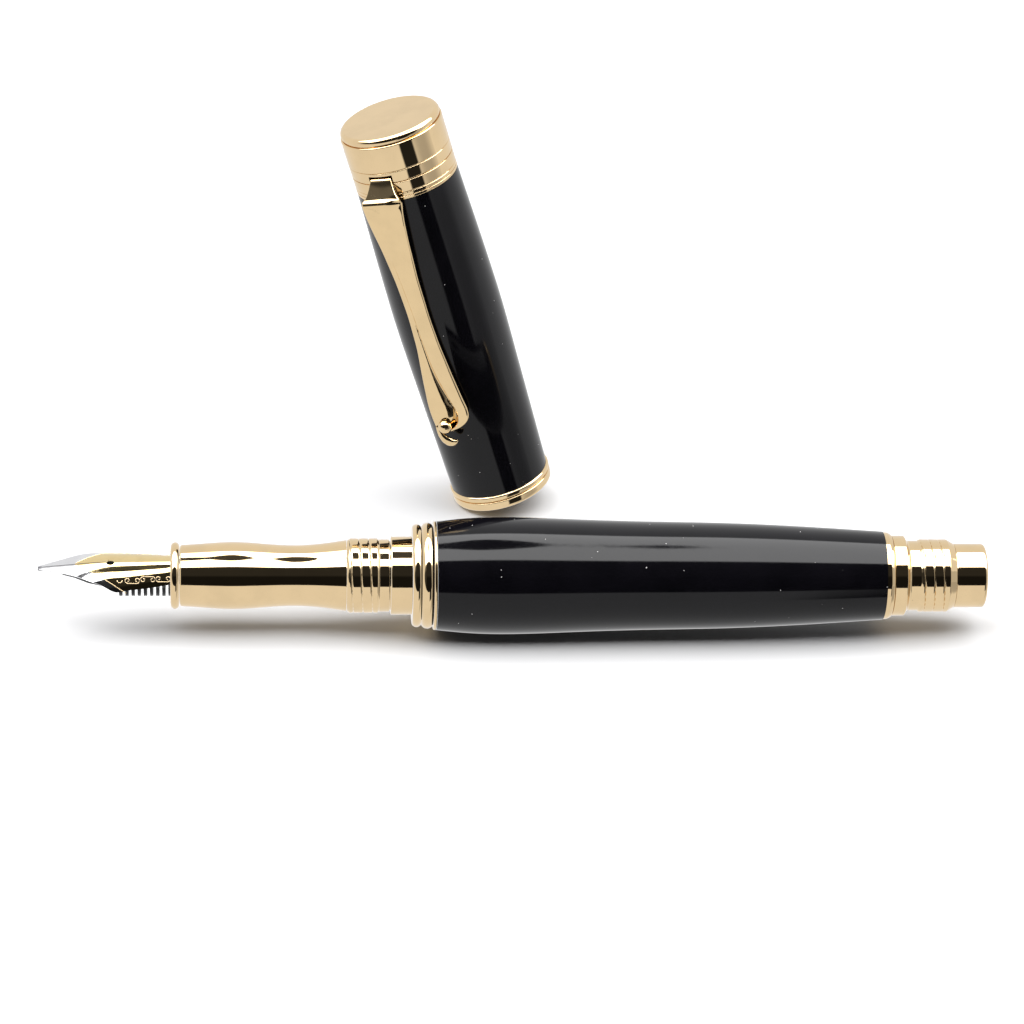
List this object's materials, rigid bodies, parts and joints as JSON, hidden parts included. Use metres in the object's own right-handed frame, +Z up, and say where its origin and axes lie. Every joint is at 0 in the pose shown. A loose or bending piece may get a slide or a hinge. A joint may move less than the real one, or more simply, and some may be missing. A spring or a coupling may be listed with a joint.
{
  "type": "fountain pen",
  "caption": "Fountain pen with twist converter, gold-plated grip and trims, black barrel, screw cap with spring clip standing apart.",
  "frame": {"origin": "on the floor under the centre of the pen and its cap", "axes": "+X along the pen from nib to tail, +Z up, the cap stands on the +Y side"},
  "size_m": [0.1334, 0.056, 0.0633],
  "materials": {
    "black_resin": "polished black resin",
    "gold_plate": "mirror polished pale gold plate",
    "raw_brass": "plain turned brass",
    "nib_metal": "two-tone steel and gold plate, polished",
    "black_plastic": "moulded black plastic",
    "silver_plate": "bright nickel plate",
    "white_plastic": "moulded",
    "clear_plastic": "clear polished",
    "seal_rubber": "smooth"
  },
  "bodies": {
    "barrel": {"barrel_sleeve": "black_resin", "barrel_tube": "raw_brass", "centre_coupler": "gold_plate", "centre_band": "gold_plate", "tail_trim_ring": "gold_plate", "tail_thread_bush": "gold_plate", "tail_end_plug": "gold_plate"},
    "section": {"grip_section": "gold_plate", "section_nose_ring": "gold_plate"},
    "nib_unit": {"nib": "nib_metal", "feed": "black_plastic", "nib_housing": "black_plastic"},
    "converter": {"converter_mouth": "white_plastic", "converter_ink_tube": "clear_plastic", "converter_band": "silver_plate", "rod_guide": "black_plastic"},
    "knob": {"converter_knob": "black_plastic", "drive_nut": "black_plastic"},
    "piston": {"piston_rod": "white_plastic", "piston_seal": "seal_rubber"},
    "cap": {"cap_sleeve": "black_resin", "cap_tube": "raw_brass", "cap_mouth_ring": "gold_plate", "cap_thread_bush": "raw_brass", "cap_liner": "black_plastic", "cap_top_bush": "raw_brass", "clip_ring": "gold_plate", "finial_rings": "gold_plate", "finial_band": "gold_plate", "finial_disc": "gold_plate", "finial_screw": "raw_brass"},
    "clip": {"clip_arm": "gold_plate", "clip_ball": "gold_plate"}
  },
  "joints": [
    {"name": "section_unscrew", "type": "slide", "parent": "barrel", "child": "section", "axis": [-1, 0, 0], "range_m": [0, 0.075]},
    {"name": "nib_unit_pull", "type": "slide", "parent": "section", "child": "nib_unit", "axis": [-1, 0, 0], "range_m": [0, 0.03]},
    {"name": "converter_pull", "type": "slide", "parent": "section", "child": "converter", "axis": [1, 0, 0], "range_m": [0, 0.0075]},
    {"name": "knob_turn", "type": "hinge", "parent": "converter", "child": "knob", "pos_m": [0.02702, -0.01973, 0.00824], "axis": [1, 0, 0], "range_deg": [0, 2400]},
    {"name": "piston_travel", "type": "slide", "parent": "converter", "child": "piston", "axis": [1, 0, 0], "range_m": [0, 0.02]},
    {"name": "cap_lift", "type": "slide", "parent": "barrel", "child": "cap", "axis": [-0.2907, 0, 0.9568], "range_m": [0, 0.06]},
    {"name": "clip_spring", "type": "hinge", "parent": "cap", "child": "clip", "pos_m": [-0.01795, 0.01354, 0.05284], "axis": [-0.8672, 0.4226, -0.2635], "range_deg": [0, 5], "stiffness_Nm_per_rad": 1}
  ],
  "couplings": [
    {"joint": "knob_turn", "follows": "piston_travel", "rad_per_m": 2094}
  ]
}
